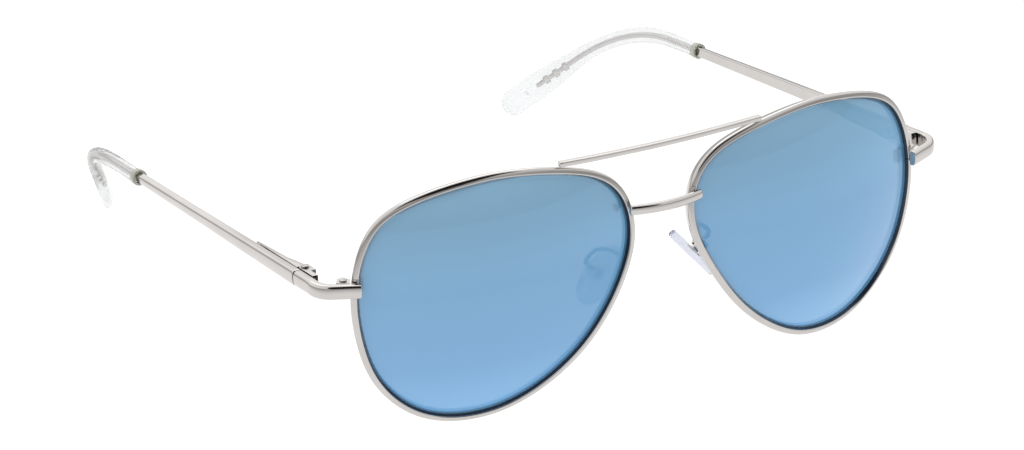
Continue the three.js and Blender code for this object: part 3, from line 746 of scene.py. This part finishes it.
UP = (0, 0, 1)
section = rounded_bar(BROW_DEPTH, BROW_THICKNESS, 0.32)
brow = swept(bowed(*BROW_LINE), section, UP, 0.22, 70)
piece("brow_bar_bowed", *tube(brow), "front", ["brow_bar"], plating)
section = soft_bar(BRIDGE_DEPTH, BRIDGE_THICKNESS, 0.55, 0.3)
bridge = swept(bowed(*BRIDGE_LINE), section, UP, 0.45, 60)
piece("bridge_bowed", *tube(bridge), "front", ["bridge"], plating)

for side, hand in ((1, "left"), (-1, "right")):
    temple_body = f"temple_{hand}"
    pad_body = f"pad_{hand}"
    make_rim(side, f"rim_{hand}", plating, wall)
    make_lens(side, f"lens_{hand}", coat, lens_back)
    section = soft_bar(LAP_THICKNESS, LAP_HEIGHT, 0.6, 0.36, 0.2) * (-1, 1)
    bar = swept(end_piece_path(), section, UP, 0.2, 110, growth)
    piece(f"end_piece_{hand}_bent", *tube(bar), "front", [f"end_piece_{hand}"], plating, side)
    make_temple(side, f"temple_{hand}", temple_body, plating)
    make_collar(side, f"tip_collar_{hand}", temple_body, collar_material)
    make_tip(side, f"temple_tip_{hand}", temple_body, tip_clear)
    make_pad(side, f"nose_pad_{hand}", pad_body, pad_clear)
    make_arm(side, f"pad_arm_{hand}", plating)
    for node, width, metal, body in (
            ("closing_block_upper", 0.14, plating, "front"),
            ("closing_block_lower", 0.14, plating, "front"),
            ("rim_screw", 0.06, bright, "front"),
            ("hinge_leaf_front", 0.10, plating, "front"),
            ("hinge_leaf_temple", 0.08, plating, temple_body),
            ("hinge_screw", 0.06, bright, "front"),
            ("pad_box", 0.10, plating, "front"),
            ("pad_screw", 0.05, bright, "front"),
            ("pad_insert", 0.06, plating, pad_body)):
        refined(f"{node}_{hand}", width, metal, body)

# ---- Floor, light and camera ----------------------------------------------------------------------

def make_floor():
    """A pale table that glows by its own emission, evenly white to the camera and through the lenses; what
    mirrors it sees a painted pool of light that fades outwards.
    """
    mesh = bpy.data.meshes.new("floor")
    size = 3.0
    corners = [(-size, -size, 0), (size, -size, 0), (size, size, 0), (-size, size, 0)]
    mesh.from_pydata(corners, [], [(0, 1, 2, 3)])
    floor = bpy.data.objects.new("floor", mesh)
    bpy.context.scene.collection.objects.link(floor)
    material, tree, shader = new_material("pale_floor_with_painted_pool")
    shader.inputs["Base Color"].default_value = (0.16, 0.16, 0.16, 1)
    shader.inputs["Roughness"].default_value = 0.9
    shader.inputs["Specular IOR Level"].default_value = 0.0
    coordinate = tree.nodes.new("ShaderNodeTexCoord")
    away = tree.nodes.new("ShaderNodeVectorMath")
    away.operation = "DISTANCE"
    away.inputs[1].default_value = (0.012, 0.02, 0)
    tree.links.new(coordinate.outputs["Object"], away.inputs[0])
    # Painted pool of light in the floor's glow: bright around the glasses, fading to grey further out.
    stops = [(0.0, 0.98), (0.165, 0.98), (0.21, 0.80), (0.28, 0.62), (0.42, 0.48), (0.8, 0.40)]
    pool = ramp(tree, away.outputs["Value"], [(at, (v, v, v)) for at, v in stops])
    pool.color_ramp.interpolation = "B_SPLINE"
    path = tree.nodes.new("ShaderNodeLightPath")
    seen = tree.nodes.new("ShaderNodeMath")
    seen.operation = "MAXIMUM"
    tree.links.new(path.outputs["Is Camera Ray"], seen.inputs[0])
    tree.links.new(path.outputs["Is Transmission Ray"], seen.inputs[1])
    even = tree.nodes.new("ShaderNodeMixRGB")
    even.inputs["Color2"].default_value = (0.98, 0.98, 0.98, 1)
    tree.links.new(seen.outputs["Value"], even.inputs["Fac"])
    tree.links.new(pool.outputs["Color"], even.inputs["Color1"])
    tree.links.new(even.outputs["Color"], shader.inputs["Emission Color"])
    shader.inputs["Emission Strength"].default_value = 1.0
    mesh.materials.append(material)


def make_world():
    """A white studio, dimmer towards the front and the horizon, with a dark opening high in front."""
    world = bpy.data.worlds.new("studio")
    bpy.context.scene.world = world
    world.use_nodes = True
    tree = world.node_tree
    background = tree.nodes["Background"]
    coordinate = tree.nodes.new("ShaderNodeTexCoord")

    def facing(direction, stops):
        dot = tree.nodes.new("ShaderNodeVectorMath")
        dot.operation = "DOT_PRODUCT"
        dot.inputs[1].default_value = Vector(direction).normalized()
        tree.links.new(coordinate.outputs["Generated"], dot.inputs[0])
        half = tree.nodes.new("ShaderNodeMath")
        half.operation = "MULTIPLY_ADD"
        half.inputs[1].default_value = 0.5
        half.inputs[2].default_value = 0.5
        tree.links.new(dot.outputs["Value"], half.inputs[0])
        return ramp(tree, half.outputs["Value"], [((at + 1) / 2, (v, v, v)) for at, v in stops])

    def times(a, b):
        node = tree.nodes.new("ShaderNodeVectorMath")
        node.operation = "MULTIPLY"
        tree.links.new(a, node.inputs[0])
        tree.links.new(b, node.inputs[1])
        return node.outputs["Vector"]

    back = facing((0, 1, 0), [(-0.6, 0.75), (0.0, 0.88), (0.7, 1.0)])
    horizon = facing((0, 0, 1), [(0.0, 0.42), (0.15, 0.50), (0.32, 1.0)])
    opening = facing((-0.137, -0.776, 0.616), [(0.872, 1.0), (0.896, 0.02)])
    level = times(back.outputs["Color"], horizon.outputs["Color"])
    level = times(level, opening.outputs["Color"])
    tree.links.new(level, background.inputs["Color"])
    background.inputs["Strength"].default_value = 1.25


def area_light(name, place, target, size, power):
    data = bpy.data.lights.new(name, "AREA")
    data.shape = "RECTANGLE"
    data.size, data.size_y = size
    data.energy = power
    light = bpy.data.objects.new(name, data)
    light.location = place
    light.rotation_euler = (Vector(target) - Vector(place)).to_track_quat("-Z", "Y").to_euler()
    bpy.context.scene.collection.objects.link(light)


def make_camera():
    azimuth, elevation, roll = -29.45 * DEG, 24.20 * DEG, -0.35 * DEG
    target, distance = np.array([-34.9, 0, 15.06]), 1119.0
    back = np.array([math.sin(azimuth) * math.cos(elevation), -math.cos(azimuth) * math.cos(elevation),
                     math.sin(elevation)])
    right = np.array([math.cos(azimuth), math.sin(azimuth), 0])
    up = np.cross(back, right)
    right, up = (math.cos(roll) * right + math.sin(roll) * up, -math.sin(roll) * right + math.cos(roll) * up)
    place = to_row([target + back * distance])[0]
    columns = [REST @ right, REST @ up, REST @ back]
    data = bpy.data.cameras.new("camera")
    data.sensor_width = 36.0
    data.lens = 202.2
    data.clip_start, data.clip_end = 0.05, 20
    camera = bpy.data.objects.new("camera", data)
    bpy.context.scene.collection.objects.link(camera)
    matrix = Matrix.Identity(4)
    for k, column in enumerate(columns):
        for row in range(3):
            matrix[row][k] = column[row]
    for row in range(3):
        matrix[row][3] = place[row]
    camera.matrix_world = matrix
    bpy.context.scene.camera = camera


make_floor()
make_world()
area_light("top_softbox", (0.2, 0.5, 1.1), (0, 0, 0), (1.2, 0.9), 3)
make_camera()
bpy.context.scene.view_settings.view_transform = "Standard"
